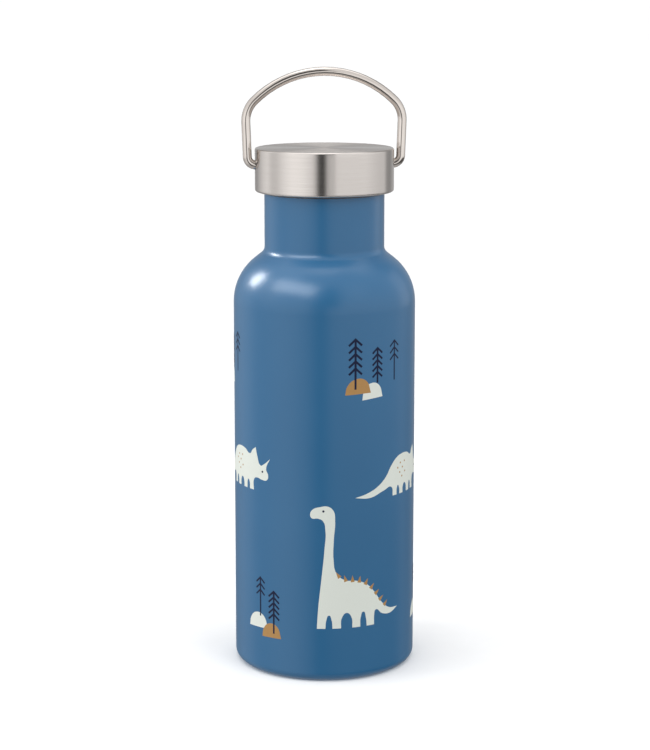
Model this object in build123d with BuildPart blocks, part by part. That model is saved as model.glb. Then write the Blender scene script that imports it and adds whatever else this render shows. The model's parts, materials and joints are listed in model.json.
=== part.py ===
"""Insulated kids' drinking bottle: a double-walled steel flask with a screw lid and a wire carrying bail.

Millimetres, +Z up. The origin is the centre of the foot, on the surface that the bottle stands on.
The bail's two pins lie along X. Every steel wall is one sheet thickness.
"""

import os
from math import cos, radians, sin, sqrt

from build123d import *

# Flask
BODY_R = 36.5  # outside of the coated body, a 73 mm tube
SHEET = 0.4  # steel wall after forming and polishing
FOOT_R = 3.6  # bend from the wall into the foot
FOOT_RIM_R = 31.0  # seam between the shell and the base cup
SHOULDER_Z = 147.5  # top of the straight body
SHOULDER_R = 22.0  # radius of the shoulder's arc
SHOULDER_TURN = 52.0  # degrees that the shoulder leans in before its straight stretch
NECK_BLEND_R = 3.7  # hollow where the shoulder meets the neck
NECK_R = 24.0
NECK_TOP_Z = 191.0  # end of the coated neck

# Threaded mouth
BARREL_R = 22.5  # bare steel under the thread
BARREL_Z = NECK_TOP_Z + NECK_R - BARREL_R  # a 45 degree step
RIM_Z = 204.0  # drinking rim
RIM_EDGE_R = 0.8
THREAD_LEAD = 4.0
THREAD_TURNS = 1.5
THREAD_HEIGHT = 0.9
THREAD_CREST = 0.7  # width of the ridge at its crest
THREAD_FLANK = 0.5  # how much each side spreads from crest to root
THREAD_ROOTED = 0.2  # how deep the ridge is let into its wall
NECK_THREAD_Z = 195.0
THREAD_PLAY = 0.3

# Inner vessel
VACUUM_GAP = 3.5
LINER_R = BODY_R - 2 * SHEET - VACUUM_GAP  # inside of the drink space
LINER_MOUTH_R = 20.5
LINER_BLEND_R = 6.5
LINER_SEAM_Z = 14.0
LINER_BASE_Z = 7.0
LINER_CORNER_R = 6.0

# Base
CUP_RISE = 2.0  # how far the middle of the base stands off the table
CUP_FLAT_R = 28.6
DIMPLE_R = 8.0
DIMPLE_RISE = 1.2
VENT_R = 0.8
BASE_DISC_R = 22.0
GETTER_X = 17.5
GETTER_R = 4.2
GETTER_THICK = 1.4
TRAY_LONG = 16.0
TRAY_WIDE = 9.4
TRAY_SHEET = 0.3
TRAY_TAB = 1.5
GETTER_EDGE = 0.2
GLASS_R = 3.2  # bead of glass melted under the vent
GLASS_DROP = 0.9
GLASS_TAPER = 25.0
GLASS_PLAY = 0.02

# Lid
LID_R = 27.75
LID_SHEET = 0.5
LID_Z = 191.7
LID_TOP_Z = 209.05
LID_TOP_EDGE_R = 0.8
LID_CURL_R = 1.0
LID_CURL_END_R = 26.0
INSERT_R = LID_R - LID_SHEET
INSERT_Z = 192.6
INSERT_TOP_Z = LID_TOP_Z - LID_SHEET
INSERT_EDGE = 0.5
INSERT_START_ANGLE = 36.0
INSERT_UPPER_R = 25.4  # inside of the wall that holds the foam pad
SEAL_THICK = 1.4
SEAL_IN_R = 19.8
SEAL_OUT_R = 23.2
SEAL_EDGE_R = 0.25
DECK_THICK = 1.5
DECK_Z = RIM_Z + SEAL_THICK
CENTRING_R = 19.5  # ring that keeps the seal in place
CENTRING_WALL = 1.2
CENTRING_DROP = 1.0
FOAM_R = 25.2

# With the lid tight its ridge sits under the neck's, and nothing rubs but the seal.
INSERT_ROOT_R = BARREL_R + THREAD_HEIGHT + THREAD_PLAY
RIDGE_SPACING = THREAD_CREST + THREAD_FLANK + THREAD_PLAY
INSERT_THREAD_Z = NECK_THREAD_Z - RIDGE_SPACING + THREAD_LEAD * INSERT_START_ANGLE / 360

# Bail
WIRE_R = 1.8
PIVOT_Z = 202.4
PIN_END_X = 24.5
SOCKET_END_X = 24.3
SOCKET_PLAY = 0.06
SHELL_HOLE_R = 2.2
LEG_LOW_X = 30.7
LEG_HIGH_X = 31.5
ARCH_R = 40.0
ARCH_RISE = 36.8  # centre of the wire over the pins, at the top of the arch
FOOT_BEND_R = 3.4
TOP_BEND_R = 11.0


def wall_line(body_r, shoulder_r, blend_r, neck_r, low_z, high_z):
    """One side of a flask wall: straight body, round shoulder, short cone, hollow blend, straight neck."""
    lean = radians(SHOULDER_TURN)
    cone_top_r = neck_r + blend_r * (1 - cos(lean))
    body = Line((body_r, low_z), (body_r, SHOULDER_Z))
    shoulder = JernArc(body @ 1, (0, 1), shoulder_r, SHOULDER_TURN)
    cone_length = ((shoulder @ 1).X - cone_top_r) / sin(lean)
    cone = Line(shoulder @ 1, (shoulder @ 1) + cone_length * (shoulder % 1))
    blend = JernArc(cone @ 1, cone % 1, blend_r, -SHOULDER_TURN)
    return Line(blend @ 1, (neck_r, high_z))


def thread_ridge(root_r, outward, start_z, turns, start_angle=0.0):
    """A helical ridge standing out of a wall of radius root_r, outward (+1) or inward (-1)."""
    path = Helix(THREAD_LEAD, THREAD_LEAD * turns, root_r, center=(0, 0, start_z), mode=Mode.PRIVATE)
    half_crest = THREAD_CREST / 2
    deep = -outward * THREAD_ROOTED
    half_root = half_crest + THREAD_FLANK * (1 + THREAD_ROOTED / THREAD_HEIGHT)
    tall = outward * THREAD_HEIGHT
    with BuildPart(mode=Mode.PRIVATE) as ridge:
        with BuildSketch(Plane(path @ 0, x_dir=(1, 0, 0), z_dir=path % 0)):
            with BuildLine():
                Polyline(
                    (deep, -half_root),
                    (tall, -half_crest),
                    (tall, half_crest),
                    (deep, half_root),
                    close=True,
                )
            make_face()
        sweep(path=path, is_frenet=True)
    return ridge.part.rotate(Axis.Z, start_angle)


def sheet_metal(thickness, side):
    """Turns the line being drawn into the section of a sheet and makes its face."""
    offset(amount=thickness, side=side, kind=Kind.INTERSECTION)


# Flask

with BuildPart() as outer_shell:
    with BuildSketch(Plane.XZ):
        with BuildLine():
            foot = Line((FOOT_RIM_R, 0), (BODY_R - FOOT_R, 0))
            JernArc(foot @ 1, (1, 0), FOOT_R, 90)
            neck = wall_line(BODY_R, SHOULDER_R, NECK_BLEND_R, NECK_R, FOOT_R, NECK_TOP_Z)
            step = Line(neck @ 1, (BARREL_R, BARREL_Z))
            Line(step @ 1, (BARREL_R, RIM_Z - SHEET))
            sheet_metal(SHEET, Side.LEFT)
        make_face()
    revolve(axis=Axis.Z)
    add(thread_ridge(BARREL_R, 1, NECK_THREAD_Z, THREAD_TURNS))

with BuildPart() as liner:
    with BuildSketch(Plane.XZ):
        with BuildLine():
            mouth = wall_line(
                LINER_R,
                SHOULDER_R - (BODY_R - LINER_R),
                LINER_BLEND_R,
                LINER_MOUTH_R,
                LINER_SEAM_Z,
                RIM_Z - RIM_EDGE_R,
            )
            edge = JernArc(mouth @ 1, (0, 1), RIM_EDGE_R, -90)
            Line(edge @ 1, (BARREL_R, RIM_Z))
            sheet_metal(SHEET, Side.RIGHT)
        make_face()
    revolve(axis=Axis.Z)

with BuildPart() as liner_bottom:
    with BuildSketch(Plane.XZ):
        with BuildLine():
            flat = Line((0, LINER_BASE_Z), (LINER_R + SHEET - LINER_CORNER_R, LINER_BASE_Z))
            corner = JernArc(flat @ 1, (1, 0), LINER_CORNER_R, 90)
            Line(corner @ 1, (LINER_R + SHEET, LINER_SEAM_Z))
            sheet_metal(SHEET, Side.LEFT)
        make_face()
    revolve(axis=Axis.Z)

with BuildPart() as base_cup:
    with BuildSketch(Plane.XZ):
        with BuildLine():
            Polyline(
                (VENT_R, CUP_RISE + DIMPLE_RISE),
                (DIMPLE_R - DIMPLE_RISE, CUP_RISE + DIMPLE_RISE),
                (DIMPLE_R, CUP_RISE),
                (CUP_FLAT_R, CUP_RISE),
                (CUP_FLAT_R + CUP_RISE, 0),
                (FOOT_RIM_R, 0),
            )
            sheet_metal(SHEET, Side.LEFT)
        make_face()
    revolve(axis=Axis.Z)

with BuildPart() as base_disc:
    with BuildSketch(Plane.XY.offset(CUP_RISE - SHEET)):
        Circle(BASE_DISC_R)
    extrude(amount=SHEET)
    chamfer(base_disc.faces().sort_by(Axis.Z)[0].edges(), SHEET / 3)

with BuildPart() as sealing_glass:
    with BuildSketch(Plane.XY.offset(CUP_RISE + DIMPLE_RISE)):
        Circle(VENT_R - GLASS_PLAY)
    extrude(amount=SHEET)
    with BuildSketch(Plane.XY.offset(CUP_RISE + DIMPLE_RISE)):
        Circle(GLASS_R)
    extrude(amount=-GLASS_DROP, taper=GLASS_TAPER)

with BuildPart() as getter_tray:
    with BuildSketch(Plane.XY.offset(CUP_RISE + SHEET)):
        with Locations((GETTER_X, 0)):
            Rectangle(TRAY_LONG, TRAY_WIDE)
    extrude(amount=TRAY_SHEET)
    with BuildSketch(Plane.XY.offset(CUP_RISE + SHEET)):
        with Locations((GETTER_X, 0)):
            with GridLocations(0, TRAY_WIDE - TRAY_SHEET, 1, 2):
                Rectangle(GETTER_R, TRAY_SHEET)
    extrude(amount=TRAY_SHEET + TRAY_TAB)

with BuildPart() as getter_pill:
    with BuildSketch(Plane.XY.offset(CUP_RISE + SHEET + TRAY_SHEET)):
        with Locations((GETTER_X, 0)):
            Circle(GETTER_R)
    extrude(amount=GETTER_THICK)
    chamfer(getter_pill.faces().sort_by(Axis.Z)[-1].edges(), GETTER_EDGE)

# Lid

with BuildPart() as lid_shell:
    with BuildSketch(Plane.XZ):
        with BuildLine():
            curl = Line((LID_CURL_END_R, LID_Z), (LID_R - LID_CURL_R, LID_Z))
            lower = JernArc(curl @ 1, (1, 0), LID_CURL_R, 90)
            side = Line(lower @ 1, (LID_R, LID_TOP_Z - LID_TOP_EDGE_R))
            upper = JernArc(side @ 1, (0, 1), LID_TOP_EDGE_R, 90)
            Line(upper @ 1, (0, LID_TOP_Z))
            sheet_metal(LID_SHEET, Side.LEFT)
        make_face()
    revolve(axis=Axis.Z)
    with Locations((0, 0, PIVOT_Z)):
        Cylinder(SHELL_HOLE_R, 3 * LID_R, rotation=(0, 90, 0), mode=Mode.SUBTRACT)

with BuildPart() as thread_insert:
    with BuildSketch(Plane.XZ):
        with BuildLine():
            Polyline(
                (INSERT_ROOT_R, INSERT_Z + INSERT_EDGE),
                (INSERT_ROOT_R + INSERT_EDGE, INSERT_Z),
                (INSERT_R - INSERT_EDGE, INSERT_Z),
                (INSERT_R, INSERT_Z + INSERT_EDGE),
                (INSERT_R, INSERT_TOP_Z - INSERT_EDGE),
                (INSERT_R - INSERT_EDGE, INSERT_TOP_Z),
                (INSERT_UPPER_R, INSERT_TOP_Z),
                (INSERT_UPPER_R, DECK_Z + DECK_THICK),
                (0, DECK_Z + DECK_THICK),
                (0, DECK_Z),
                (INSERT_ROOT_R, DECK_Z),
                close=True,
            )
        make_face()
    revolve(axis=Axis.Z)
    with BuildSketch(Plane.XY.offset(DECK_Z)):
        Circle(CENTRING_R)
        Circle(CENTRING_R - CENTRING_WALL, mode=Mode.SUBTRACT)
    extrude(amount=-CENTRING_DROP)
    add(thread_ridge(INSERT_ROOT_R, -1, INSERT_THREAD_Z, THREAD_TURNS, INSERT_START_ANGLE))
    with BuildSketch(Plane.YZ.offset(SOCKET_END_X)):
        with Locations((0, PIVOT_Z)):
            Circle(WIRE_R + SOCKET_PLAY)
    extrude(amount=INSERT_R, mode=Mode.SUBTRACT)
    with BuildSketch(Plane.YZ.offset(-SOCKET_END_X)):
        with Locations((0, PIVOT_Z)):
            Circle(WIRE_R + SOCKET_PLAY)
    extrude(amount=-INSERT_R, mode=Mode.SUBTRACT)

with BuildPart() as foam_pad:
    with BuildSketch(Plane.XY.offset(DECK_Z + DECK_THICK)):
        Circle(FOAM_R)
    extrude(amount=LID_TOP_Z - LID_SHEET - DECK_Z - DECK_THICK)

with BuildPart() as seal_ring:
    with BuildSketch(Plane.XY.offset(RIM_Z)):
        Circle(SEAL_OUT_R)
        Circle(SEAL_IN_R, mode=Mode.SUBTRACT)
    extrude(amount=SEAL_THICK)
    fillet(seal_ring.edges().filter_by(GeomType.CIRCLE), SEAL_EDGE_R)

# Bail

ARCH_CENTRE_Z = PIVOT_Z + ARCH_RISE - ARCH_R
CORNER_Z = ARCH_CENTRE_Z + sqrt(ARCH_R**2 - LEG_HIGH_X**2)

with BuildPart() as bail_handle:
    with BuildLine(Plane.XZ) as wire_line:
        left = Polyline(
            (-PIN_END_X, PIVOT_Z),
            (-LEG_LOW_X, PIVOT_Z),
            (-LEG_HIGH_X, CORNER_Z),
        )
        arch = ThreePointArc(left @ 1, (0, PIVOT_Z + ARCH_RISE), (LEG_HIGH_X, CORNER_Z))
        Polyline(
            arch @ 1,
            (LEG_LOW_X, PIVOT_Z),
            (PIN_END_X, PIVOT_Z),
        )
        shoulders = wire_line.vertices().filter_by(lambda v: v.Z > PIVOT_Z + WIRE_R)
        fillet(shoulders, TOP_BEND_R)
        low_ends = wire_line.vertices().filter_by(lambda v: v.Z < PIVOT_Z + WIRE_R)
        feet = low_ends.filter_by(lambda v: abs(v.X) > PIN_END_X + WIRE_R)
        fillet(feet, FOOT_BEND_R)
    with BuildSketch(Plane(wire_line.line @ 0, z_dir=wire_line.line % 0)):
        Circle(WIRE_R)
    sweep(path=wire_line.line)

pieces = {
    "outer_shell": outer_shell,
    "liner": liner,
    "liner_bottom": liner_bottom,
    "base_cup": base_cup,
    "base_disc": base_disc,
    "sealing_glass": sealing_glass,
    "getter_tray": getter_tray,
    "getter_pill": getter_pill,
    "lid_shell": lid_shell,
    "thread_insert": thread_insert,
    "foam_pad": foam_pad,
    "seal_ring": seal_ring,
    "bail_handle": bail_handle,
}

os.makedirs("parts", exist_ok=True)
for name, piece in pieces.items():
    piece.part.label = name
    export_step(piece.part, f"parts/{name}.step")
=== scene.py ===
"""Insulated kids' drinking bottle: satin powder-coated flask with a printed scene, brushed lid and wire bail.

Metres, +Z up. The bottle stands on the origin and the bail's pins lie along X.
Turned pieces are lathe meshes of a drawn section, and the bail is a swept wire.
The print is a thin film of ink wrapped round the body.
"""

import json
from math import atan2, cos, degrees, pi, radians, sin, sqrt, tan

import bmesh
import bpy
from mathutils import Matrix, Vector


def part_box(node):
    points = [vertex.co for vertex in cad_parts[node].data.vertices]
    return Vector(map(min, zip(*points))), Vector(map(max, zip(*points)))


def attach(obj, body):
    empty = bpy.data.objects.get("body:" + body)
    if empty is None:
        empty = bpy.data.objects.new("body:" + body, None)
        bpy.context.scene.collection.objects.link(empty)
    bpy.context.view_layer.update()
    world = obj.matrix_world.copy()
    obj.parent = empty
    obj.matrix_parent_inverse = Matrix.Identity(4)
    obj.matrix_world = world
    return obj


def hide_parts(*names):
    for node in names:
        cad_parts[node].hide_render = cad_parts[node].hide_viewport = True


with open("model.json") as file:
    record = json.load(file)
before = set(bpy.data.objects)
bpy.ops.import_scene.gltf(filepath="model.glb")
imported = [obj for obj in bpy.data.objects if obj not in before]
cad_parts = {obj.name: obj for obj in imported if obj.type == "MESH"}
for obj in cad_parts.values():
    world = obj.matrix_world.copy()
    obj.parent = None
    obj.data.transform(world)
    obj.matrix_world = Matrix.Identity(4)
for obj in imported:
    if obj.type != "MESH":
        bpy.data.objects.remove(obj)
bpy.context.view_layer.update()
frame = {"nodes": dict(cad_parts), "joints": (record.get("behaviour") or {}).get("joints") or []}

MM = 0.001

# ---------------------------------------------------------------- sizes

JOINTS = {joint["name"]: joint for joint in frame["joints"]}
PIVOT_Z = JOINTS["bail_swing"]["pos_m"][2]

SHEET = 0.4 * MM
BODY_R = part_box("outer_shell")[1].x
FOOT_BEND = 3.6 * MM
FOOT_SEAM_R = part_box("base_cup")[1].x
SHOULDER_Z = 147.5 * MM
SHOULDER_BEND = 22.0 * MM
SHOULDER_LEAN = 52.0  # degrees off upright between the shoulder's two bends
NECK_BLEND = 3.7 * MM
NECK_R = 24.0 * MM
NECK_TOP_Z = 191.0 * MM
BARREL_R = 22.5 * MM
RIM_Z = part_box("liner")[1].z
RIM_EDGE = 0.8 * MM

THREAD_Z = 195.0 * MM  # where the ridge starts
THREAD_LEAD = 4.0 * MM
THREAD_TURNS = 1.5
THREAD_HEIGHT = 0.9 * MM
THREAD_CREST = 0.7 * MM  # width of the flat on top
THREAD_FLANK = 0.5 * MM  # width of the slope on each side
THREAD_EDGE = 0.12 * MM  # how far the crest's edges are broken
THREAD_SUNK = 0.15 * MM  # depth of the ridge's root inside the barrel's wall
THREAD_RUNOUT = 25.0  # degrees over which it grows, and dies away at the other end
THREAD_END_WIDTH = 0.4  # share of its width that is left at the ends

LINER_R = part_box("liner")[1].x - SHEET
LINER_BEND = SHOULDER_BEND - (BODY_R - LINER_R)
LINER_BLEND = 6.5 * MM
MOUTH_R = 20.5 * MM
LINER_SEAM_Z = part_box("liner")[0].z
LINER_FLOOR_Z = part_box("liner_bottom")[0].z
LINER_CORNER = 6.0 * MM

CUP_RISE = 2.0 * MM
CUP_FLAT_R = 28.6 * MM
DIMPLE_R = 8.0 * MM
DIMPLE_RISE = 1.2 * MM
VENT_R = 0.8 * MM

LID_SHEET = 0.5 * MM
LID_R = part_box("lid_shell")[1].x
LID_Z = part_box("lid_shell")[0].z
LID_TOP_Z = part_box("lid_shell")[1].z
LID_EDGE = 0.8 * MM
LID_CURL = 1.0 * MM
LID_CURL_END_R = 26.0 * MM
PIN_HOLE_R = 2.2 * MM

WIRE_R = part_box("bail_handle")[1].y
PIN_END_X = 24.5 * MM
LEG_LOW_X = 30.7 * MM
LEG_HIGH_X = 31.5 * MM
ARCH_R = 40.0 * MM
ARCH_TOP_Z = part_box("bail_handle")[1].z - WIRE_R
WIRE_FOOT_BEND = 3.4 * MM
WIRE_TOP_BEND = 11.0 * MM

SEAL_IN_R = 19.8 * MM
SEAL_EDGE = 0.25 * MM

# Each ink stands a little prouder of the coat than the one printed before it.
WHITE_LIFT = 0.02 * MM
OCHRE_LIFT = 0.03 * MM
NAVY_LIFT = 0.04 * MM
INK_SUNK = 0.02 * MM

FACETS = 192  # quads round a turned piece
THREAD_STEPS = 120  # sections of the ridge to each turn
WIRE_SIDES = 32
SHARP_ANGLE = 32.0  # degrees between faces from which an edge is drawn sharp
FRONT = -8.0  # degrees from -Y to the middle of the print, towards -X


# ---------------------------------------------------------------- materials


def linear(colour):
    """An sRGB hex colour such as "#3a709b" as linear RGBA."""
    channels = [int(colour[i : i + 2], 16) / 255 for i in (1, 3, 5)]
    return [c / 12.92 if c <= 0.04045 else ((c + 0.055) / 1.055) ** 2.4 for c in channels] + [1.0]


def add_node(tree, kind, inputs=None, **settings):
    """Adds a node. settings are its own properties; inputs fill its sockets with values or other outputs."""
    node = tree.nodes.new(kind)
    for name, value in settings.items():
        setattr(node, name, value)
    for socket, value in (inputs or {}).items():
        if isinstance(value, bpy.types.NodeSocket):
            tree.links.new(value, node.inputs[socket])
        else:
            node.inputs[socket].default_value = value
    return node


def new_finish(name, **shader):
    """A material with its shader's plain values set. Returns the material, its tree and its shader node."""
    material = bpy.data.materials.new(name)
    material.use_nodes = True
    tree = material.node_tree
    principled = tree.nodes["Principled BSDF"]
    for socket, value in shader.items():
        principled.inputs[socket.replace("_", " ")].default_value = value
    return material, tree, principled


def per_metre(pitch_mm):
    """Texture scale at which one feature of a noise is pitch_mm across."""
    return 1.0 / (pitch_mm * MM)


def graded(tree, value, low, high):
    """Spreads a 0 to 1 value over low to high."""
    spread = add_node(tree, "ShaderNodeMapRange", {"Value": value, "To Min": low, "To Max": high})
    return spread.outputs["Result"]


def tinted(tree, value, dark, light):
    """Mixes two colours by a 0 to 1 value."""
    mix = add_node(tree, "ShaderNodeMix", {"Factor": value}, data_type="RGBA")
    mix.inputs[6].default_value = linear(dark)
    mix.inputs[7].default_value = linear(light)
    return mix.outputs[2]


def noise(tree, vector, pitch_mm, detail=2.0):
    """Noise with features pitch_mm across."""
    texture = add_node(
        tree,
        "ShaderNodeTexNoise",
        {"Vector": vector, "Scale": per_metre(pitch_mm), "Detail": detail},
    )
    return texture.outputs["Fac"]


def stretched(tree, vector, across, up):
    """Squeezes a texture's space, so that its features draw out into lines."""
    mapping = add_node(tree, "ShaderNodeMapping", {"Vector": vector, "Scale": (across, across, up)})
    return mapping.outputs["Vector"]


def relief(tree, principled, height, depth_mm):
    """Raises the surface by up to depth_mm where height is 1."""
    bump = add_node(
        tree, "ShaderNodeBump", {"Height": height, "Distance": depth_mm * MM, "Strength": 1.0}
    )
    tree.links.new(bump.outputs["Normal"], principled.inputs["Normal"])


def powder_coat():
    """Polyester powder coat on steel, sprayed and baked: an even satin skin with faint orange peel."""
    material, tree, principled = new_finish("powder_coat", IOR=1.5)
    place = add_node(tree, "ShaderNodeTexCoord").outputs["Object"]
    peel = noise(tree, place, 1.4, 1.0)
    cloud = noise(tree, place, 35.0, 2.0)
    tree.links.new(tinted(tree, cloud, "#245e88", "#2a648e"), principled.inputs["Base Color"])
    tree.links.new(graded(tree, cloud, 0.27, 0.31), principled.inputs["Roughness"])
    relief(tree, principled, peel, 0.003)
    return material


def ink(name, thin, full):
    """Pad-printed ink over the coat, cured matt: nearly opaque, a little thinner in specks."""
    material, tree, principled = new_finish(name, IOR=1.5, Specular_IOR_Level=0.2)
    place = add_node(tree, "ShaderNodeTexCoord").outputs["Object"]
    speck = noise(tree, place, 0.5, 3.0)
    tree.links.new(tinted(tree, speck, thin, full), principled.inputs["Base Color"])
    tree.links.new(graded(tree, speck, 0.42, 0.52), principled.inputs["Roughness"])
    relief(tree, principled, speck, 0.003)
    return material


def lined_steel(name, dark, light, smooth, rough, line_mm, depth_mm, anisotropy):
    """Stainless steel with fine lines that run round it, left by a belt or a polishing lathe."""
    material, tree, principled = new_finish(
        name, Metallic=1.0, Anisotropic=anisotropy, Anisotropic_Rotation=0.25
    )
    place = add_node(tree, "ShaderNodeTexCoord").outputs["Object"]
    around = add_node(tree, "ShaderNodeTangent", direction_type="RADIAL", axis="Z")
    tree.links.new(around.outputs["Tangent"], principled.inputs["Tangent"])
    lines = noise(tree, stretched(tree, place, 0.02, 1.0), line_mm, 3.0)
    tree.links.new(tinted(tree, lines, dark, light), principled.inputs["Base Color"])
    tree.links.new(graded(tree, lines, smooth, rough), principled.inputs["Roughness"])
    relief(tree, principled, lines, depth_mm)
    return material


def brushed_steel():
    """Stainless steel brushed round with a fine belt. Its lines are drawn 0.35 mm apart, so they show."""
    return lined_steel(
        "brushed_stainless",
        dark="#c8c2bd",
        light="#d7d1cd",
        smooth=0.20,
        rough=0.26,
        line_mm=0.35,
        depth_mm=0.0005,
        anisotropy=0.97,
    )


def spun_steel():
    """Bare stainless steel, hydroformed and polished on a lathe: softly lined."""
    return lined_steel(
        "spun_stainless",
        dark="#b6b1ac",
        light="#cdc8c3",
        smooth=0.24,
        rough=0.34,
        line_mm=0.8,
        depth_mm=0.001,
        anisotropy=0.4,
    )


def drawn_wire():
    """Round stainless wire, drawn and tumble polished: bright, with faint marks along it."""
    material, tree, principled = new_finish("drawn_stainless_wire", Metallic=1.0)
    along = add_node(tree, "ShaderNodeUVMap", uv_map="Wire").outputs["UV"]
    marks = noise(tree, stretched(tree, along, 0.03, 1.0), 0.4, 3.0)
    tree.links.new(tinted(tree, marks, "#c2bab4", "#d0c9c3"), principled.inputs["Base Color"])
    tree.links.new(graded(tree, marks, 0.06, 0.10), principled.inputs["Roughness"])
    relief(tree, principled, marks, 0.0003)
    return material


def moulded(name, dark, light, rough, grain_mm, softness=0.0):
    """A moulded piece: even colour with the faint grain of its tool, and light that soaks in a little."""
    material, tree, principled = new_finish(
        name, IOR=1.49, Subsurface_Weight=softness, Subsurface_Scale=0.002
    )
    place = add_node(tree, "ShaderNodeTexCoord").outputs["Object"]
    grain = noise(tree, place, grain_mm, 2.0)
    tree.links.new(tinted(tree, grain, dark, light), principled.inputs["Base Color"])
    tree.links.new(graded(tree, grain, rough - 0.05, rough + 0.05), principled.inputs["Roughness"])
    relief(tree, principled, grain, 0.01)
    return material


def polypropylene():
    """White polypropylene, injection moulded: waxy and slightly see-through at its edges."""
    return moulded("white_polypropylene", "#dcdcd8", "#e6e6e2", rough=0.4, grain_mm=0.6, softness=0.2)


def silicone():
    """Clear silicone rubber, compression moulded: milky, with a soft sheen."""
    return moulded("milky_silicone", "#cdd2d0", "#dbe0de", rough=0.45, grain_mm=0.4, softness=0.4)


def closed_cell_foam():
    """Cross-linked polyethylene foam, cut from sheet: matt, with cells about 0.5 mm across."""
    return moulded("polyethylene_foam", "#d6d6d0", "#ecece8", rough=0.85, grain_mm=0.5)


def sealing_glass():
    """Brazing glass, melted into the vent in the vacuum furnace: dark, smooth and rounded."""
    return moulded("brazing_glass", "#15181b", "#23282c", rough=0.15, grain_mm=1.5)


def getter_powder():
    """Zirconium alloy powder, pressed and sintered: charcoal grey, dull and sandy."""
    return moulded("sintered_getter", "#34343a", "#4c4c52", rough=0.8, grain_mm=0.25)


def studio_floor():
    """Painted board, rolled on: pale, matt and faintly mottled."""
    return moulded("pale_board", "#f4f4f4", "#f8f8f8", rough=0.8, grain_mm=12.0)


COAT = powder_coat()
BRUSHED = brushed_steel()
SPUN = spun_steel()
WIRE = drawn_wire()
PLASTIC = polypropylene()
SILICONE = silicone()
FOAM = closed_cell_foam()
GLASS = sealing_glass()
GETTER = getter_powder()
WHITE_INK = ink("white_ink", "#d6dbd3", "#dce1da")
OCHRE_INK = ink("ochre_ink", "#a57e4c", "#af8755")
NAVY_INK = ink("navy_ink", "#0b1430", "#101a3a")


# ---------------------------------------------------------------- drawing sections


class Section:
    """A line drawn on a plane by straight runs and arcs. Headings are degrees: 0 is outward, 90 is up."""

    CHORD = 5.0  # degrees of arc to each step
    MARGIN = 0.25 * MM  # a short step beside each arc keeps the shading of the straight run flat

    def __init__(self, across, up, heading=0.0):
        self.points = [Vector((across, up))]
        self.heading = heading

    @property
    def end(self):
        return self.points[-1]

    def to(self, across, up):
        """A straight run to a point."""
        start, stop = self.end.copy(), Vector((across, up))
        run = stop - start
        if run.length > 4 * self.MARGIN:
            self.points.append(start + run.normalized() * self.MARGIN)
            self.points.append(stop - run.normalized() * self.MARGIN)
        self.points.append(stop)
        self.heading = degrees(atan2(run.y, run.x))
        return self

    def run(self, length):
        """A straight run ahead."""
        ahead = radians(self.heading)
        return self.to(self.end.x + length * cos(ahead), self.end.y + length * sin(ahead))

    def arc(self, bend, turn):
        """An arc of radius bend that turns left by turn degrees, or right when turn is negative."""
        side = 1 if turn > 0 else -1
        middle = self.end + bend * self._aside(side)
        steps = max(2, round(abs(turn) / self.CHORD))
        for _ in range(steps):
            self.heading += turn / steps
            self.points.append(middle - bend * self._aside(side))
        return self

    def _aside(self, side):
        angle = radians(self.heading + 90 * side)
        return Vector((cos(angle), sin(angle)))


def flask_side(line, bend, blend, neck_r, top_z):
    """Continues a straight body wall up its shoulder and neck."""
    lean = radians(SHOULDER_LEAN)
    line.to(line.end.x, SHOULDER_Z)
    line.arc(bend, SHOULDER_LEAN)
    line.run((line.end.x - neck_r - blend * (1 - cos(lean))) / sin(lean))
    line.arc(blend, -SHOULDER_LEAN)
    line.to(neck_r, top_z)
    return line


# ---------------------------------------------------------------- making meshes


def finished(name, mesh, body, slot, nodes, *materials):
    """Links a mesh as a piece that rides on a body, stands for CAD nodes and takes the given finishes; its
    slot is not used.
    """
    for material in materials:
        mesh.materials.append(material)
    mesh.shade_smooth()
    mesh.set_sharp_from_angle(angle=radians(SHARP_ANGLE))
    piece = bpy.data.objects.new(name, mesh)
    bpy.context.scene.collection.objects.link(piece)
    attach(piece, body)
    if nodes:
        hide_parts(*nodes)
    return piece


def lathe(shape, points):
    """Turns a closed section about Z into a bmesh. Points on the axis become one vertex."""
    rings = []
    for radius, height in points:
        if radius < 1e-7:
            rings.append([shape.verts.new((0, 0, height))] * FACETS)
            continue
        angles = [2 * pi * k / FACETS for k in range(FACETS)]
        rings.append([shape.verts.new((radius * cos(a), radius * sin(a), height)) for a in angles])
    for first, second in zip(rings, rings[1:] + rings[:1]):
        for k in range(FACETS):
            corners = [first[k], first[(k + 1) % FACETS], second[(k + 1) % FACETS], second[k]]
            corners = list(dict.fromkeys(corners))
            if len(corners) > 2:
                shape.faces.new(corners)
    return rings


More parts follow.
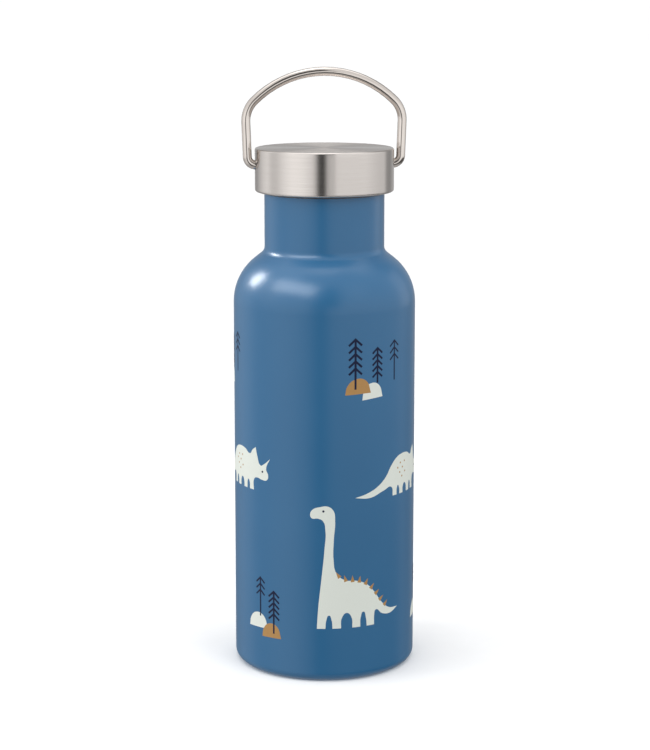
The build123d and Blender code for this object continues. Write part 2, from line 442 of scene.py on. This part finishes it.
def thread_ridge(shape):
    """Adds the thread's ridge, which grows out of the barrel, runs round it and dies away again."""
    whole = 2 * pi * THREAD_TURNS
    steps = round(THREAD_TURNS * THREAD_STEPS)
    runout = radians(THREAD_RUNOUT)
    crest = THREAD_CREST / 2
    spread = crest + THREAD_FLANK
    foot = spread * 0.97  # the flank steepens where it enters the wall
    shoulder = crest + THREAD_EDGE * 0.6
    rings = []
    for k in range(steps + 1):
        turn = whole * k / steps
        grown = sin(min(1.0, turn / runout, (whole - turn) / runout) * pi / 2)
        height = THREAD_HEIGHT * grown
        outline = [
            (-THREAD_SUNK, -spread),
            (0.0, -foot),
            (height - THREAD_EDGE, -shoulder),
            (height, THREAD_EDGE - crest),
            (height, crest - THREAD_EDGE),
            (height - THREAD_EDGE, shoulder),
            (0.0, foot),
            (-THREAD_SUNK, spread),
        ]
        middle = THREAD_Z + THREAD_LEAD * turn / (2 * pi)
        width = THREAD_END_WIDTH + (1 - THREAD_END_WIDTH) * grown
        ring = []
        for out, up in outline:
            radius = BARREL_R + out
            ring.append(shape.verts.new((radius * cos(turn), radius * sin(turn), middle + up * width)))
        rings.append(ring)
    count = len(rings[0])
    for first, second in zip(rings, rings[1:]):
        for k in range(count):
            shape.faces.new([first[k], second[k], second[(k + 1) % count], first[(k + 1) % count]])
    shape.faces.new(rings[0])
    shape.faces.new(rings[-1])


def closed_mesh(name, shape):
    """Turns a bmesh of closed surfaces into a mesh with its faces pointing outward."""
    bmesh.ops.recalc_face_normals(shape, faces=shape.faces)
    mesh = bpy.data.meshes.new(name)
    shape.to_mesh(mesh)
    shape.free()
    return mesh


def turned(name, section, body, slot, nodes, material):
    """A lathe-turned piece from its closed section."""
    shape = bmesh.new()
    lathe(shape, section)
    return finished(name, closed_mesh(name, shape), body, slot, nodes, material)


def walled(outer, inner):
    """The closed section between the two sides of a sheet."""
    return outer.points + inner.points[::-1]


# ---------------------------------------------------------------- flask


def coated_shell():
    """The outer shell, coated from the foot's seam to the top of the neck."""

    def side(inset):
        line = Section(FOOT_SEAM_R, inset)
        line.to(BODY_R - FOOT_BEND, inset)
        line.arc(FOOT_BEND - inset, 90)
        return flask_side(line, SHOULDER_BEND - inset, NECK_BLEND + inset, NECK_R - inset, NECK_TOP_Z)

    section = walled(side(0.0), side(SHEET))
    return turned("coated_shell", section, "bottle", "coated_steel", ["outer_shell"], COAT)


def threaded_mouth():
    """The bare end of the outer shell, stepped in and threaded for the lid."""

    def side(inset):
        line = Section(NECK_R - inset, NECK_TOP_Z)
        line.to(BARREL_R - inset, NECK_TOP_Z + NECK_R - BARREL_R)
        return line.to(BARREL_R - inset, RIM_Z - SHEET)

    shape = bmesh.new()
    lathe(shape, walled(side(0.0), side(SHEET)))
    thread_ridge(shape)
    mesh = closed_mesh("threaded_mouth", shape)
    return finished("threaded_mouth", mesh, "bottle", "bare_steel", ["outer_shell"], SPUN)


def drink_liner():
    """The inner vessel, with its neck rolled out into the drinking rim."""

    def side(inset):
        line = Section(LINER_R + inset, LINER_SEAM_Z, 90.0)
        flask_side(line, LINER_BEND + inset, LINER_BLEND - inset, MOUTH_R + inset, RIM_Z - RIM_EDGE)
        line.arc(RIM_EDGE - inset, -90)
        return line.to(BARREL_R, RIM_Z - inset)

    return turned("drink_liner", walled(side(0.0), side(SHEET)), "bottle", "bare_steel", ["liner"], SPUN)


def liner_floor():
    """The pressed bottom of the inner vessel."""

    def side(inset):
        line = Section(0.0, LINER_FLOOR_Z + inset)
        line.to(LINER_R + SHEET - LINER_CORNER, LINER_FLOOR_Z + inset)
        line.arc(LINER_CORNER - inset, 90)
        return line.to(LINER_R + SHEET - inset, LINER_SEAM_Z)

    section = walled(side(0.0), side(SHEET))
    return turned("liner_floor", section, "bottle", "bare_steel", ["liner_bottom"], SPUN)


def foot_cup():
    """The recessed base with its vent dimple, welded to the shell at the foot."""

    def side(inset):
        line = Section(VENT_R, CUP_RISE + DIMPLE_RISE + inset)
        line.to(DIMPLE_R - DIMPLE_RISE, CUP_RISE + DIMPLE_RISE + inset)
        line.to(DIMPLE_R, CUP_RISE + inset)
        line.to(CUP_FLAT_R, CUP_RISE + inset)
        line.to(CUP_FLAT_R + CUP_RISE, inset)
        return line.to(FOOT_SEAM_R, inset)

    section = walled(side(0.0), side(SHEET))
    return turned("foot_cup", section, "bottle", "bare_steel", ["base_cup"], SPUN)


def foot_disc():
    """The cover over the sealing point, brushed round, with its lower edge broken."""
    low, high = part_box("base_disc")
    bevel = SHEET / 3
    section = [
        Vector((0.0, low.z)),
        Vector((high.x - bevel, low.z)),
        Vector((high.x, low.z + bevel)),
        Vector((high.x, high.z)),
        Vector((0.0, high.z)),
    ]
    return turned("foot_disc", section, "bottle", "brushed_steel", ["base_disc"], BRUSHED)


# ---------------------------------------------------------------- lid


def lid_cup():
    """The lid's brushed cup: closed top, curled lower edge and a round hole at each side for a pin."""
    cells = 10  # the patch round a hole is this many quads each way
    pitch = 2 * pi * LID_R / FACETS
    patch_high = PIVOT_Z + pitch * cells / 2
    patch_low = PIVOT_Z - pitch * cells / 2
    levels = [patch_high - pitch * k for k in range(cells + 1)]

    def side(inset):
        line = Section(0.0, LID_TOP_Z - inset)
        line.to(LID_R - LID_EDGE, LID_TOP_Z - inset)
        line.arc(LID_EDGE - inset, -90)
        start = len(line.points)
        line.points += [Vector((LID_R - inset, level)) for level in levels]
        line.heading = -90.0
        line.to(LID_R - inset, LID_Z + LID_CURL)
        line.arc(LID_CURL - inset, -90)
        line.to(LID_CURL_END_R, LID_Z + inset)
        return line, start

    shape = bmesh.new()
    outer, outer_start = side(0.0)
    inner, inner_start = side(LID_SHEET)
    section = walled(outer, inner)
    rings = lathe(shape, section)
    inner_start = len(section) - 1 - inner_start
    for centre in (0, FACETS // 2):
        columns = [(centre + k) % FACETS for k in range(-cells // 2, cells // 2 + 1)]
        rims = []
        for first, step, radius in ((outer_start, 1, LID_R), (inner_start, -1, LID_R - LID_SHEET)):
            grid = [[rings[first + step * row][c] for c in columns] for row in range(cells + 1)]
            rims.append(round_hole(shape, grid, radius, 2 * pi * centre / FACETS))
        count = len(rims[0])
        for k in range(count):
            shape.faces.new([rims[0][k], rims[0][(k + 1) % count], rims[1][(k + 1) % count], rims[1][k]])
    mesh = closed_mesh("lid_cup", shape)
    return finished("lid_cup", mesh, "lid", "brushed_steel", ["lid_shell"], BRUSHED)


def round_hole(shape, grid, radius, facing):
    """Swaps a square patch of a cylinder's quads for rings of quads round a hole. Returns the hole's edge."""
    last = len(grid) - 1
    inside = {grid[r][c] for r in range(last + 1) for c in range(last + 1)}
    shape.faces.ensure_lookup_table()
    doomed = [face for face in shape.faces if all(v in inside for v in face.verts)]
    bmesh.ops.delete(shape, geom=doomed, context="FACES_ONLY")
    border = [grid[0][c] for c in range(last)] + [grid[r][last] for r in range(last)]
    border += [grid[last][c] for c in range(last, 0, -1)] + [grid[r][0] for r in range(last, 0, -1)]
    spare = [grid[r][c] for r in range(1, last) for c in range(1, last)]
    for v in spare:
        if v.is_valid:
            shape.verts.remove(v)

    def flat(v):
        angle = atan2(v.co.y, v.co.x) - facing
        angle = (angle + pi) % (2 * pi) - pi
        return Vector((angle * radius, v.co.z - PIVOT_Z))

    rings = [border]
    for share in (0.3, 0.6, 0.85, 1.0):
        ring = []
        for v in border:
            place = flat(v)
            place = place.lerp(place.normalized() * PIN_HOLE_R, share)
            angle = facing + place.x / radius
            ring.append(
                shape.verts.new((radius * cos(angle), radius * sin(angle), PIVOT_Z + place.y))
            )
        rings.append(ring)
    count = len(border)
    for first, second in zip(rings, rings[1:]):
        for k in range(count):
            shape.faces.new([first[k], first[(k + 1) % count], second[(k + 1) % count], second[k]])
    return rings[-1]


def mouth_seal():
    """The flat silicone ring between the rim and the lid's deck."""
    low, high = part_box("seal_ring")
    line = Section(SEAL_IN_R + SEAL_EDGE, low.z)
    line.to(high.x - SEAL_EDGE, low.z)
    line.arc(SEAL_EDGE, 90)
    line.to(high.x, high.z - SEAL_EDGE)
    line.arc(SEAL_EDGE, 90)
    line.to(SEAL_IN_R + SEAL_EDGE, high.z)
    line.arc(SEAL_EDGE, 90)
    line.to(SEAL_IN_R, low.z + SEAL_EDGE)
    line.arc(SEAL_EDGE, 90)
    return turned("mouth_seal", line.points[:-1], "seal", "silicone", ["seal_ring"], SILICONE)


# ---------------------------------------------------------------- bail


def wire_path():
    """Half of the bail's centre line, from one pin's end to the top of the arch."""
    arch_z = ARCH_TOP_Z - ARCH_R
    corner = Vector((LEG_HIGH_X, arch_z + sqrt(ARCH_R**2 - LEG_HIGH_X**2)))
    foot = Vector((LEG_LOW_X, PIVOT_Z))
    leg = (corner - foot).normalized()
    lean = degrees(atan2(leg.y, leg.x))
    inward = Vector((-leg.y, leg.x))
    # The top bend touches the leg and the arch: its middle is one bend in from the leg and from the arch.
    base = foot + WIRE_TOP_BEND * inward - Vector((0.0, arch_z))
    reach = ARCH_R - WIRE_TOP_BEND
    along = -base.dot(leg) + sqrt(base.dot(leg) ** 2 - base.length_squared + reach**2)
    middle = base + along * leg
    touch = foot + along * leg
    turn = degrees(atan2(middle.y, middle.x)) - (lean - 90)
    path = Section(PIN_END_X, PIVOT_Z)
    path.to(LEG_LOW_X - WIRE_FOOT_BEND * tan(radians(lean / 2)), PIVOT_Z)
    path.arc(WIRE_FOOT_BEND, lean)
    path.to(*touch)
    path.arc(WIRE_TOP_BEND, turn)
    path.arc(ARCH_R, 180 - path.heading)
    return path.points


def bail_wire():
    """One round wire swept along the whole path, with each end capped flat and a ring inset in the cap."""
    half = wire_path()
    path = [Vector((-p.x, p.y)) for p in half] + half[-2::-1]
    shape = bmesh.new()
    layer = shape.loops.layers.uv.new("Wire")
    travel = [0.0]
    for first, second in zip(path, path[1:]):
        travel.append(travel[-1] + (second - first).length)
    rings = []
    for k, point in enumerate(path):
        ahead = (path[min(k + 1, len(path) - 1)] - path[max(k - 1, 0)]).normalized()
        aside = Vector((-ahead.y, ahead.x))
        ring = []
        for side in range(WIRE_SIDES):
            angle = 2 * pi * side / WIRE_SIDES
            across = point + aside * WIRE_R * cos(angle)
            ring.append(shape.verts.new((across.x, WIRE_R * sin(angle), across.y)))
        rings.append(ring)
    for k, (first, second) in enumerate(zip(rings, rings[1:])):
        for side in range(WIRE_SIDES):
            nearby = (side + 1) % WIRE_SIDES
            face = shape.faces.new([first[side], first[nearby], second[nearby], second[side]])
            turns = (side, side + 1, side + 1, side)
            for loop, place, turn in zip(face.loops, (k, k, k + 1, k + 1), turns):
                loop[layer].uv = (travel[place], turn / WIRE_SIDES * 2 * pi * WIRE_R)
    for ring in (rings[0], rings[-1]):
        cap = shape.faces.new(ring)
        bmesh.ops.inset_region(shape, faces=[cap], thickness=0.25 * MM, depth=0.0)
    mesh = closed_mesh("bail_wire", shape)
    return finished("bail_wire", mesh, "bail", "polished_wire", ["bail_handle"], WIRE)


# ---------------------------------------------------------------- print

# Motifs are drawn in millimetres on the unrolled body. A point with a third value of "c" is a corner.

DROOP = 42.0  # degrees that the firs' boughs hang down
EYE_R = 0.45

# Where each motif comes, along the body from the middle of its front and up from its place in the drawing.
LONG_NECK_PLACES = ((0.0, 0.0), (114.6, 0.0))
HORNED_PLACES = ((12.3, 74.5), (-66.8, 76.7), (78.0, 92.0))
UPPER_FIR_PLACES = ((0.0, 0.0), (-76.0, 1.2), (114.0, 4.0))
LOWER_FIR_PLACES = ((0.0, 0.0), (81.4, -0.6), (-38.5, 7.0))

LONG_NECK = [
    (-5.6, 68.6), (-4.6, 70.4), (-1.8, 71.4), (1.4, 71.6), (3.6, 69.8), (4.2, 66.0),
    (3.7, 58.0), (3.6, 50.0), (4.8, 44.4), (8.2, 41.6), (12.8, 41.0), (17.2, 39.2),
    (20.8, 35.6), (24.4, 30.8), (28.6, 27.6), (33.6, 27.0, "c"), (29.0, 25.2), (24.6, 26.0),
    (21.6, 28.0), (20.9, 26.0), (20.8, 22.0, "c"), (17.4, 22.0, "c"), (17.0, 25.6), (15.9, 28.0),
    (14.8, 26.0), (14.6, 22.0, "c"), (11.2, 22.0, "c"), (10.8, 26.4), (8.9, 28.2), (7.0, 26.4),
    (6.6, 22.0, "c"), (3.2, 22.0, "c"), (2.8, 25.6), (1.8, 27.4), (0.8, 25.6), (0.4, 22.0, "c"),
    (-3.0, 22.0, "c"), (-2.4, 31.0), (-1.2, 42.0), (0.0, 54.0), (0.4, 62.0), (-0.6, 65.8),
    (-2.6, 66.8), (-5.0, 66.9),
]

HORNED = [
    (0.0, 0.0, "c"), (5.5, 1.4), (10.6, 3.8), (14.4, 7.0), (17.2, 10.8), (20.6, 13.6),
    (24.6, 14.6), (29.0, 14.2), (32.4, 12.8), (34.2, 14.6), (36.2, 16.0, "c"), (37.2, 12.4),
    (39.0, 9.0), (40.6, 9.6), (43.9, 12.2, "c"), (42.0, 7.8), (43.0, 5.6), (42.4, 3.6),
    (39.8, 3.3), (36.8, 3.8), (35.2, 3.0), (34.9, -1.5, "c"), (32.4, -1.5, "c"), (32.0, 1.5),
    (31.3, 2.2), (30.7, 1.5), (30.4, -1.5, "c"), (28.0, -1.5, "c"), (27.6, 1.4), (26.4, 2.3),
    (25.3, 1.4), (25.0, -1.5, "c"), (22.6, -1.5, "c"), (22.2, 1.5), (21.5, 2.2), (20.9, 1.5),
    (20.6, -1.5, "c"), (18.2, -1.5, "c"), (17.4, 2.2), (13.0, 1.4), (6.4, -0.6),
]


def hill(left, right, foot, height, tilt):
    """A half-round hill from left to right, whose base climbs by tilt."""
    width = right - left
    return [
        (left, foot, "c"),
        (left + width * 0.08, foot + height * 0.56),
        (left + width * 0.40, foot + height),
        (left + width * 0.80, foot + height * 0.86),
        (right, foot + tilt, "c"),
    ]


def fir(middle, foot, top, pairs, pitch, reach, line=0.75):
    """A line-drawn fir in one outline: a bare trunk and pairs of drooping boughs, pitch apart."""
    half = line / 2
    droop = radians(DROOP)
    slope = tan(droop)
    thick = half / cos(droop)
    side = []
    for k in range(pairs):
        joint = top - thick - k * pitch
        tip = joint - reach * slope
        if k:
            side.append((half, joint + thick - half * slope))
        side.append((reach + half * sin(droop), tip + half * cos(droop)))
        side.append((reach - half * sin(droop), tip - half * cos(droop)))
        side.append((half, joint - thick - half * slope))
    side.append((half, foot))
    outline = [(middle, top, "c")] + [(middle + x, y, "c") for x, y in side]
    return outline + [(middle - x, y, "c") for x, y in reversed(side)]


def dot(x, y, radius):
    """A round spot."""
    return [(x + radius, y), (x, y + radius), (x - radius, y), (x, y - radius)]


def back_plate(x, y, lean, size):
    """A small pointed plate standing on a back, leaning by lean degrees."""
    up = Vector((sin(radians(lean)), cos(radians(lean))))
    aside = Vector((up.y, -up.x))
    base = Vector((x, y)) - up * 0.3
    corners = [base - aside * size * 0.3, base + up * size, base + aside * size * 0.3]
    return [(c.x, c.y, "c") for c in corners]


def long_neck_marks():
    """Plates along the back of the long-necked animal."""
    plates = [(5.9, 43.0, -34), (8.5, 41.3, -16), (11.3, 40.9, -2), (14.1, 40.4, 10), (16.8, 39.2, 26)]
    plates += [(19.2, 37.2, 40), (21.4, 34.6, 50), (23.5, 31.8, 50), (25.9, 29.2, 42)]
    return [back_plate(x, y, lean, 2.8) for x, y, lean in plates]


def horned_marks():
    """Speckles on the flank of the horned animal."""
    places = [(21.4, 9.2), (23.2, 11.0), (22.8, 7.2), (24.8, 9.0), (26.4, 11.2), (24.4, 5.4), (26.8, 7.0)]
    return [dot(x, y, 0.4) for x, y in places]


def shifted(outlines, across, up):
    """Moves outlines along and up the unrolled body."""
    return [[(p[0] + across, p[1] + up, *p[2:]) for p in line] for line in outlines]


def printed_scene():
    """The outlines of every motif for the white, the ochre and the navy ink."""
    white, ochre, navy = [], [], []
    for across, up in LONG_NECK_PLACES:
        white += shifted([LONG_NECK], across, up)
        ochre += shifted(long_neck_marks(), across, up)
        navy += shifted([dot(-0.4, 69.7, EYE_R)], across, up)
    for across, up in HORNED_PLACES:
        white += shifted([HORNED], across, up)
        ochre += shifted(horned_marks(), across, up)
        navy += shifted([dot(40.0, 6.6, EYE_R)], across, up)
    for across, up in UPPER_FIR_PLACES:
        ochre += shifted([hill(8.1, 19.0, 115.7, 6.2, 0.4)], across, up)
        white += shifted([hill(15.2, 24.5, 113.3, 6.5, 0.8)], across, up)
        navy += shifted([fir(12.3, 117.8, 138.1, 5, 2.85, 2.7, 0.85)], across, up)
        navy += shifted([fir(22.0, 119.7, 134.0, 5, 2.35, 2.3)], across, up)
        navy += shifted([fir(31.0, 119.8, 135.9, 3, 2.65, 2.5, 0.6)], across, up)
    for across, up in LOWER_FIR_PLACES:
        white += shifted([hill(-34.9, -24.3, 19.0, 6.2, 0.5)], across, up)
        ochre += shifted([hill(-27.2, -17.9, 16.0, 5.9, 0.3)], across, up)
        navy += shifted([fir(-28.2, 24.1, 40.4, 3, 2.5, 2.3, 0.65)], across, up)
        navy += shifted([fir(-21.3, 18.0, 35.8, 5, 2.3, 2.5)], across, up)
    return white, ochre, navy


def ink_film(name, outlines, slot, material, lift):
    """Fills outlines as a thin film of ink, cut into 1 mm strips so that it wraps round the body.

    It stands lift above the coat.
    """
    drawing = bpy.data.curves.new(name + "_drawing", "CURVE")
    drawing.dimensions = "2D"
    drawing.fill_mode = "BOTH"
    drawing.resolution_u = 6
    for outline in outlines:
        spline = drawing.splines.new("BEZIER")
        spline.bezier_points.add(len(outline) - 1)
        spline.use_cyclic_u = True
        for knot, point in zip(spline.bezier_points, outline):
            knot.co = (point[0], point[1], 0.0)
            knot.handle_left_type = knot.handle_right_type = "VECTOR" if point[2:] else "AUTO"
    drawn = bpy.data.objects.new(name + "_drawn", drawing)
    bpy.context.scene.collection.objects.link(drawn)
    bpy.context.view_layer.update()
    flat = bpy.data.meshes.new_from_object(drawn.evaluated_get(bpy.context.evaluated_depsgraph_get()))
    bpy.data.objects.remove(drawn)
    shape = bmesh.new()
    shape.from_mesh(flat)
    bpy.data.meshes.remove(flat)
    bmesh.ops.remove_doubles(shape, verts=shape.verts, dist=0.001)
    low = min(v.co.x for v in shape.verts)
    high = max(v.co.x for v in shape.verts)
    for k in range(int(high - low)):
        bmesh.ops.bisect_plane(
            shape,
            geom=shape.verts[:] + shape.edges[:] + shape.faces[:],
            plane_co=(low + k + 0.5, 0.0, 0.0),
            plane_no=(1.0, 0.0, 0.0),
        )
    raised = bmesh.ops.extrude_face_region(shape, geom=shape.faces[:], use_keep_orig=True)
    raised = {element for element in raised["geom"] if isinstance(element, bmesh.types.BMVert)}
    for v in shape.verts:
        radius = BODY_R + (lift if v in raised else -INK_SUNK)
        angle = radians(FRONT) + v.co.x * MM / BODY_R
        v.co = (radius * sin(angle), -radius * cos(angle), v.co.y * MM)
    return finished(name, closed_mesh(name, shape), "bottle", slot, [], material)


# ---------------------------------------------------------------- assemble

shell = coated_shell()
threaded_mouth()
drink_liner()
liner_floor()
foot_cup()
foot_disc()
lid_cup()
mouth_seal()
bail_wire()

white_outlines, ochre_outlines, navy_outlines = printed_scene()
prints = [
    ink_film("white_print", white_outlines, "print_white", WHITE_INK, WHITE_LIFT),
    ink_film("ochre_print", ochre_outlines, "print_ochre", OCHRE_INK, OCHRE_LIFT),
    ink_film("navy_print", navy_outlines, "print_navy", NAVY_INK, NAVY_LIFT),
]

# CAD nodes that are shown as they are, in these finishes.
CARRIED = {
    "thread_insert": PLASTIC,
    "foam_pad": FOAM,
    "sealing_glass": GLASS,
    "getter_tray": SPUN,
    "getter_pill": GETTER,
}
for node_name, finish in CARRIED.items():
    for slot in frame["nodes"][node_name].material_slots:
        slot.material = finish


# ---------------------------------------------------------------- studio

CAMERA_DISTANCE = 787.3 * MM
CAMERA_HEIGHT = 271.3 * MM
CAMERA_DOWN = 9.047  # degrees that it looks down
FOCAL_LENGTH = 94.97  # millimetres
FRAME_HEIGHT = 36.0  # millimetres of sensor on the frame's long side
LENS_RISE = -0.0945  # lens shift that keeps the whole bottle in the frame
LENS_SIDE = 0.0008


def studio_camera():
    """A long lens straight ahead of the print's middle."""
    lens = bpy.data.cameras.new("studio_camera")
    lens.lens = FOCAL_LENGTH
    lens.sensor_width = FRAME_HEIGHT
    lens.shift_y = LENS_RISE
    lens.shift_x = LENS_SIDE
    lens.clip_end = 200.0
    camera = bpy.data.objects.new("studio_camera", lens)
    turn = radians(FRONT)
    camera.location = (CAMERA_DISTANCE * sin(turn), -CAMERA_DISTANCE * cos(turn), CAMERA_HEIGHT)
    camera.rotation_euler = (radians(90 - CAMERA_DOWN), 0.0, turn)
    bpy.context.scene.collection.objects.link(camera)
    bpy.context.scene.camera = camera


def softbox(name, azimuth, elevation, distance, width, height, power, lit=None, glossy=True, diffuse=True):
    """An area light aimed at the shoulder. Azimuth 0 is the camera's side.

    It lights only the pieces in lit, if given. Without glossy it is in no reflection, and without diffuse it
    is only in reflections.
    """
    lamp = bpy.data.lights.new(name, "AREA")
    lamp.shape = "RECTANGLE"
    lamp.size = width
    lamp.size_y = height
    lamp.energy = power
    light = bpy.data.objects.new(name, lamp)
    around = radians(FRONT + azimuth)
    up = radians(elevation)
    aim = Vector((0.0, 0.0, SHOULDER_Z))
    direction = Vector((sin(around) * cos(up), -cos(around) * cos(up), sin(up)))
    light.location = aim + direction * distance
    light.rotation_euler = (-direction).to_track_quat("-Z", "Y").to_euler()
    light.visible_camera = False
    light.visible_glossy = glossy
    light.visible_diffuse = diffuse
    light.light_linking.receiver_collection = lit
    bpy.context.scene.collection.objects.link(light)


# Brightness of the cloth round the bottle, by azimuth to the right of the camera, which stands in a dark gap.
AROUND = [
    (-180, 0.50), (-166, 0.48), (-152, 0.36), (-136, 0.66), (-121, 0.98), (-109, 1.12), (-96, 0.86),
    (-86, 0.90), (-72, 1.18), (-56, 1.40), (-37, 1.44), (-30, 1.42), (-23, 1.34), (-17, 1.06),
    (-13, 0.70), (-9.5, 0.18), (-5, 0.03), (-0.5, 0.07), (2.2, 0.42), (4.5, 0.92), (7, 1.14),
    (11, 1.27), (17, 1.32), (30, 1.34), (72, 1.28), (89, 1.10), (106, 0.94), (117, 0.86), (126, 0.42),
    (138, 0.34), (152, 0.48), (180, 0.50),
]
OVERHEAD = 1.8  # the ceiling
ZENITH = 3.0  # straight above
AHEAD = 1.05  # above and in front of the bottle
LENS = 0.12  # round the camera, above the eye line
SHADE = 0.12  # low on the right
TABLE = 0.6  # straight below


def studio_room():
    """The room's light: cloth all round, brightest overhead, dark round the camera and low on the right."""
    world = bpy.data.worlds.new("studio")
    world.use_nodes = True
    tree = world.node_tree
    direction = add_node(tree, "ShaderNodeTexCoord").outputs["Generated"]
    turn = {"Vector": direction, "Angle": -radians(FRONT)}
    facing = add_node(tree, "ShaderNodeVectorRotate", turn, rotation_type="Z_AXIS").outputs["Vector"]
    parts = add_node(tree, "ShaderNodeSeparateXYZ", {"Vector": facing}).outputs

    def math(operation, *values):
        """One sum on two or three values."""
        return add_node(tree, "ShaderNodeMath", dict(enumerate(values)), operation=operation).outputs[0]

    def step(value, start, stop):
        """0 before start and 1 past stop, both in degrees, with a soft rise between."""
        limits = {"Value": value, "From Min": radians(start), "From Max": radians(stop)}
        rise = add_node(tree, "ShaderNodeMapRange", limits, interpolation_type="SMOOTHSTEP")
        return rise.outputs["Result"]

    def blend(share, low, high):
        """low where share is 0, high where it is 1."""
        return add_node(tree, "ShaderNodeMix", {"Factor": share, "A": low, "B": high}).outputs["Result"]

    azimuth = math("ARCTAN2", parts["X"], math("MULTIPLY", parts["Y"], -1.0))
    elevation = math("ARCSINE", parts["Z"])
    ramp = add_node(tree, "ShaderNodeValToRGB", {"Fac": math("MULTIPLY_ADD", azimuth, 0.5 / pi, 0.5)})
    stops = ramp.color_ramp.elements
    for degree, level in AROUND[1:-1]:
        stops.new(degree / 360 + 0.5)
    for stop, (degree, level) in zip(stops, AROUND):
        stop.position = degree / 360 + 0.5
        stop.color = (level, level, level, 1.0)
    # The cloth fades a little below the eye line, and more so ahead on the left.
    fade = math("MULTIPLY", step(elevation, -6, -18), 0.3)
    ahead = math("MULTIPLY", step(azimuth, -54, -24), step(azimuth, 4, -4))
    low_ahead = math("MULTIPLY", ahead, step(elevation, -3, -9))
    fade = math("MAXIMUM", fade, math("MULTIPLY", low_ahead, 0.45))
    light = blend(fade, ramp.outputs["Color"], 0.0)
    right = math("MULTIPLY", step(azimuth, -4, 4), step(azimuth, 122, 108))
    light = blend(math("MULTIPLY", right, step(elevation, -11, -19)), light, SHADE)
    light = blend(step(elevation, -34, -50), light, TABLE)
    light = blend(step(elevation, 44, 62), light, OVERHEAD)
    front = math("MULTIPLY", step(azimuth, -66, -46), step(azimuth, 96, 76))
    light = blend(math("MULTIPLY", front, step(elevation, 10, 24)), light, AHEAD)
    light = blend(step(elevation, 72, 82), light, ZENITH)
    beside = math("MULTIPLY", step(azimuth, -18, -8), step(azimuth, 21, 16))
    above = math("MULTIPLY", step(elevation, 2, 8), step(elevation, 50, 42))
    light = blend(math("MULTIPLY", beside, above), light, LENS)
    seen = add_node(tree, "ShaderNodeLightPath").outputs["Is Camera Ray"]
    tree.links.new(blend(seen, light, 1.0), tree.nodes["Background"].inputs["Color"])
    bpy.context.scene.world = world


def studio_floor_board():
    """A wide pale floor that fills the view."""
    reach = 90.0
    count = 48
    mesh = bpy.data.meshes.new("floor")
    corners = [(reach * cos(2 * pi * k / count), reach * sin(2 * pi * k / count), 0.0) for k in range(count)]
    mesh.from_pydata(corners, [], [list(range(count))])
    mesh.materials.append(studio_floor())
    floor = bpy.data.objects.new("floor", mesh)
    bpy.context.scene.collection.objects.link(floor)
    floor.visible_glossy = False
    floor.visible_diffuse = False


studio_camera()
studio_room()
studio_floor_board()

# These three make the highlights of the coat, and leave the steel as the room lights it.
coated_pieces = bpy.data.collections.new("coated_pieces")
for coated in (shell, *prints):
    coated_pieces.objects.link(coated)
sheen = {"lit": coated_pieces, "diffuse": False}
softbox("key_softbox", -114, 27, distance=0.9, width=0.18, height=0.28, power=4.2, **sheen)
softbox("shoulder_bank", -46, 40, distance=0.6, width=0.60, height=0.23, power=2.4, **sheen)
softbox("right_card", 122, 12, distance=0.8, width=0.34, height=0.55, power=0.36, **sheen)

softbox("left_fill", -80, 20, distance=0.7, width=0.4, height=0.4, power=1.7, glossy=False)
softbox("right_fill", 48, 34, distance=0.7, width=0.4, height=0.4, power=1.3, glossy=False)
bpy.context.scene.view_settings.view_transform = "Standard"
